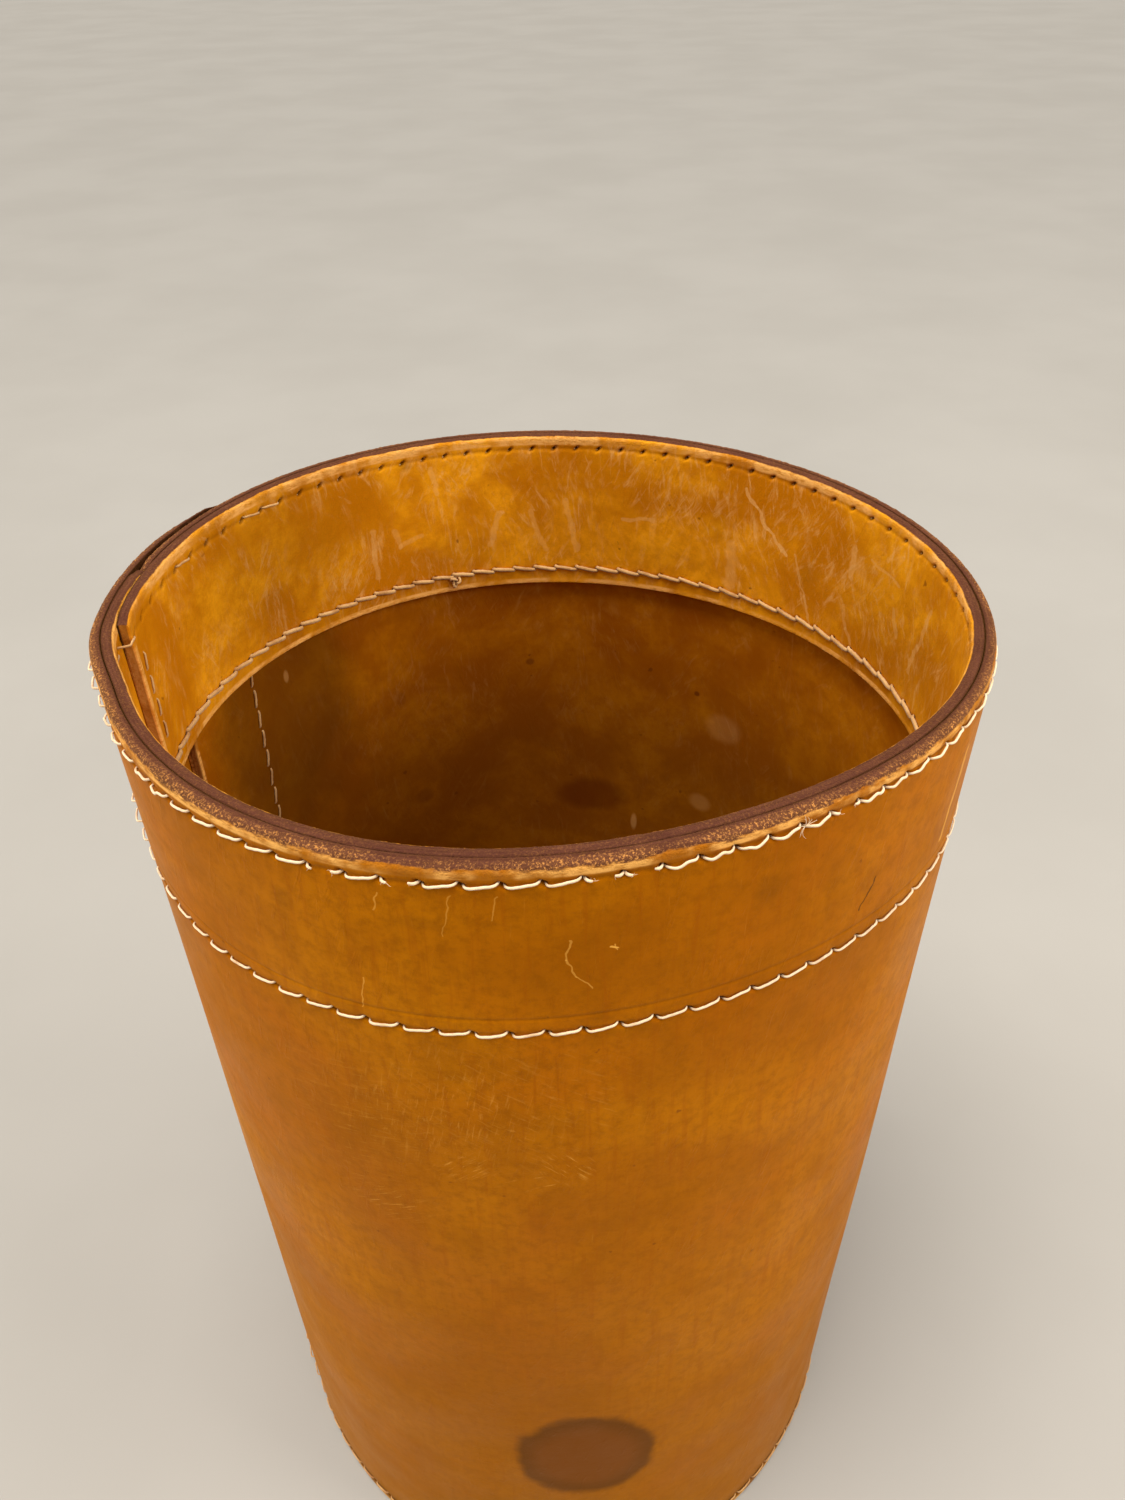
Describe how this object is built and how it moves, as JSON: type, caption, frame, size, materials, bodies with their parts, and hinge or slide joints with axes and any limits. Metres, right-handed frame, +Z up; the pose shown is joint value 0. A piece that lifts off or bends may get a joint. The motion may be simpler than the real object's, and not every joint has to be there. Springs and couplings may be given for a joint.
{
  "type": "leather waste basket",
  "caption": "Round, straight-sided waste-paper basket of thick tan saddle leather with a lapped wall, a stitched collar lining the rim and a sewn-in leather base.",
  "frame": {"origin": "centre of the underside, on the floor", "axes": "+Z up out of the mouth, -Y the front, the upright lap at the left towards the back"},
  "size_m": [0.2656, 0.2616, 0.41],
  "materials": {
    "wall_leather": "worn semi-gloss tan saddle leather",
    "collar_leather": "scuffed satin tan saddle leather",
    "base_leather": "matt brown saddle leather",
    "outer_thread": "waxed cream linen thread",
    "inner_thread": "soiled linen thread"
  },
  "bodies": {
    "root": {"wall_sheet": "wall_leather", "rim_collar": "collar_leather", "base_pan": "base_leather", "rim_row_outer_thread": "outer_thread", "rim_row_inner_thread": "inner_thread", "collar_row_outer_thread": "outer_thread", "collar_row_inner_thread": "inner_thread", "base_row_outer_thread": "outer_thread", "base_row_inner_thread": "inner_thread", "wall_seam_outer_thread": "outer_thread", "wall_seam_inner_thread": "inner_thread", "collar_seam_outer_thread": "outer_thread", "collar_seam_inner_thread": "inner_thread"}
  },
  "joints": []
}
